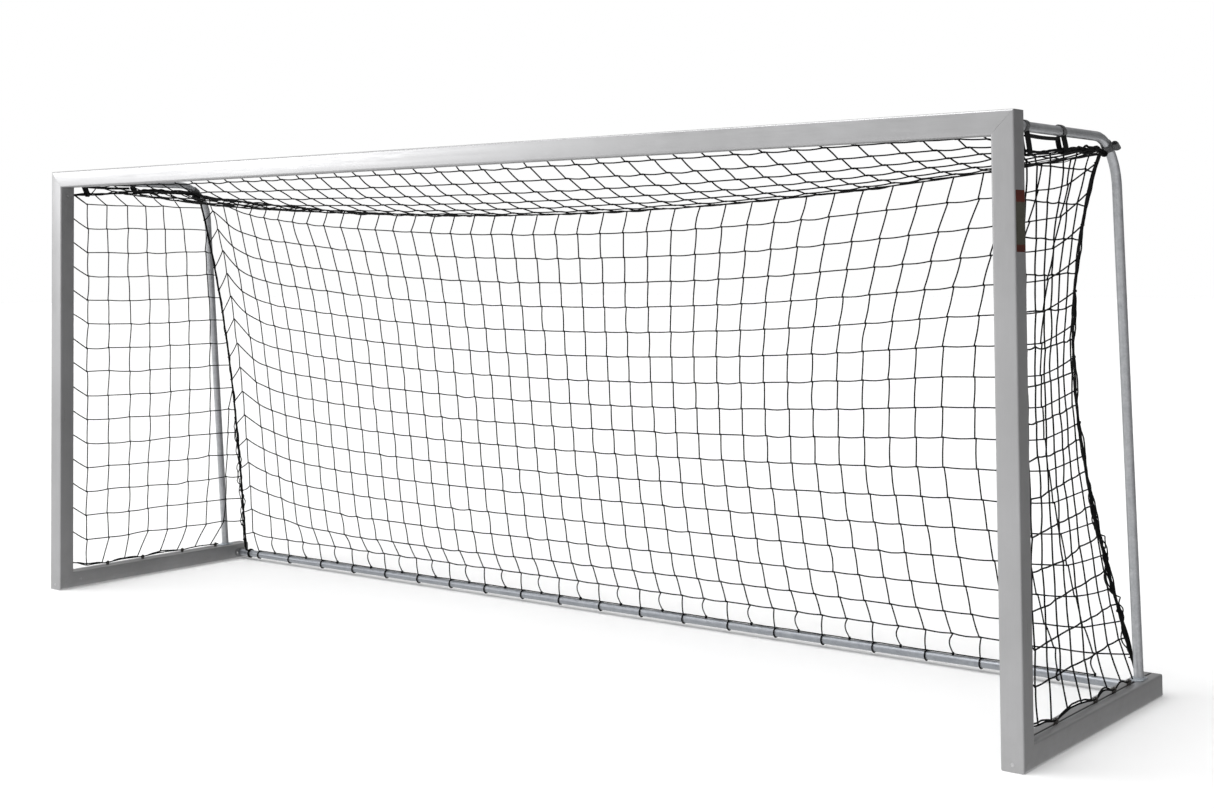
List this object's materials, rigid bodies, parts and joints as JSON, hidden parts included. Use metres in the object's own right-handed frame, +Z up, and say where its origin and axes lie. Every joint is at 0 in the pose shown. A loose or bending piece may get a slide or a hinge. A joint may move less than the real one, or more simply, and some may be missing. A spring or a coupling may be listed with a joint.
{
  "type": "soccer goal",
  "caption": "Free-standing youth soccer goal: mitred square aluminium frame with ground rails, rear bar, bent net brackets, sliding net hooks and black knotted box net.",
  "frame": {"origin": "centre of the goal's footprint, on the ground", "axes": "+X along the crossbar towards the right post as seen by a player facing the goal, +Y from the goal mouth towards the back, +Z up"},
  "size_m": [5.16, 1.2, 2.08],
  "materials": {
    "frame_profile": "satin anodised extrusion with fine length-wise drawing marks",
    "tube": "galvanised steel tube, slightly mottled",
    "casting": "rough cast aluminium",
    "screw": "zinc-plated steel",
    "end_cap": "moulded grey plastic, fine texture",
    "hook": "moulded dark brown-black plastic",
    "webbing": "woven black webbing",
    "net_cord": "black braided cord, knotted at every crossing"
  },
  "bodies": {
    "goal_frame": {"crossbar": "frame_profile", "left_post": "frame_profile", "left_ground_rail": "frame_profile", "left_top_corner_connector": "casting", "left_bottom_corner_connector": "casting", "left_post_corner_screw": "screw", "left_crossbar_corner_screw": "screw", "left_front_foot_screw": "screw", "left_rail_corner_screw": "screw", "left_rear_bar_socket": "casting", "left_socket_screw_front": "screw", "left_socket_screw_rear": "screw", "left_net_bracket": "tube", "left_rail_end_cap": "end_cap", "left_bracket_foot_plate": "tube", "left_strap_front": "webbing", "left_strap_middle": "webbing", "left_strap_rear": "webbing", "left_corner_rope": "net_cord", "left_foot_rope": "net_cord", "left_bundle_rope": "net_cord", "net_left_panel": "net_cord", "right_post": "frame_profile", "right_ground_rail": "frame_profile", "right_top_corner_connector": "casting", "right_bottom_corner_connector": "casting", "right_post_corner_screw": "screw", "right_crossbar_corner_screw": "screw", "right_front_foot_screw": "screw", "right_rail_corner_screw": "screw", "right_rear_bar_socket": "casting", "right_socket_screw_front": "screw", "right_socket_screw_rear": "screw", "right_net_bracket": "tube", "right_rail_end_cap": "end_cap", "right_bracket_foot_plate": "tube", "right_strap_front": "webbing", "right_strap_middle": "webbing", "right_strap_rear": "webbing", "right_corner_rope": "net_cord", "right_foot_rope": "net_cord", "right_bundle_rope": "net_cord", "net_right_panel": "net_cord", "rear_ground_bar": "tube", "net_top_panel": "net_cord", "net_rear_panel": "net_cord", "net_top_rope": "net_cord"},
    "left_net_hook_1": {"left_net_hook_1": "hook"},
    "left_net_hook_2": {"left_net_hook_2": "hook"},
    "left_net_hook_3": {"left_net_hook_3": "hook"},
    "left_net_hook_4": {"left_net_hook_4": "hook"},
    "right_net_hook_1": {"right_net_hook_1": "hook"},
    "right_net_hook_2": {"right_net_hook_2": "hook"},
    "right_net_hook_3": {"right_net_hook_3": "hook"},
    "right_net_hook_4": {"right_net_hook_4": "hook"}
  },
  "joints": [
    {"name": "left_net_hook_1_slide", "type": "slide", "parent": "goal_frame", "child": "left_net_hook_1", "axis": [0, 1, 0], "range_m": [-0.01, 0.01]},
    {"name": "left_net_hook_2_slide", "type": "slide", "parent": "goal_frame", "child": "left_net_hook_2", "axis": [0, 1, 0], "range_m": [-0.01, 0.01]},
    {"name": "left_net_hook_3_slide", "type": "slide", "parent": "goal_frame", "child": "left_net_hook_3", "axis": [0, 1, 0], "range_m": [-0.01, 0.01]},
    {"name": "left_net_hook_4_slide", "type": "slide", "parent": "goal_frame", "child": "left_net_hook_4", "axis": [0, 1, 0], "range_m": [-0.01, 0.01]},
    {"name": "right_net_hook_1_slide", "type": "slide", "parent": "goal_frame", "child": "right_net_hook_1", "axis": [0, 1, 0], "range_m": [-0.01, 0.01]},
    {"name": "right_net_hook_2_slide", "type": "slide", "parent": "goal_frame", "child": "right_net_hook_2", "axis": [0, 1, 0], "range_m": [-0.01, 0.01]},
    {"name": "right_net_hook_3_slide", "type": "slide", "parent": "goal_frame", "child": "right_net_hook_3", "axis": [0, 1, 0], "range_m": [-0.01, 0.01]},
    {"name": "right_net_hook_4_slide", "type": "slide", "parent": "goal_frame", "child": "right_net_hook_4", "axis": [0, 1, 0], "range_m": [-0.01, 0.01]}
  ]
}
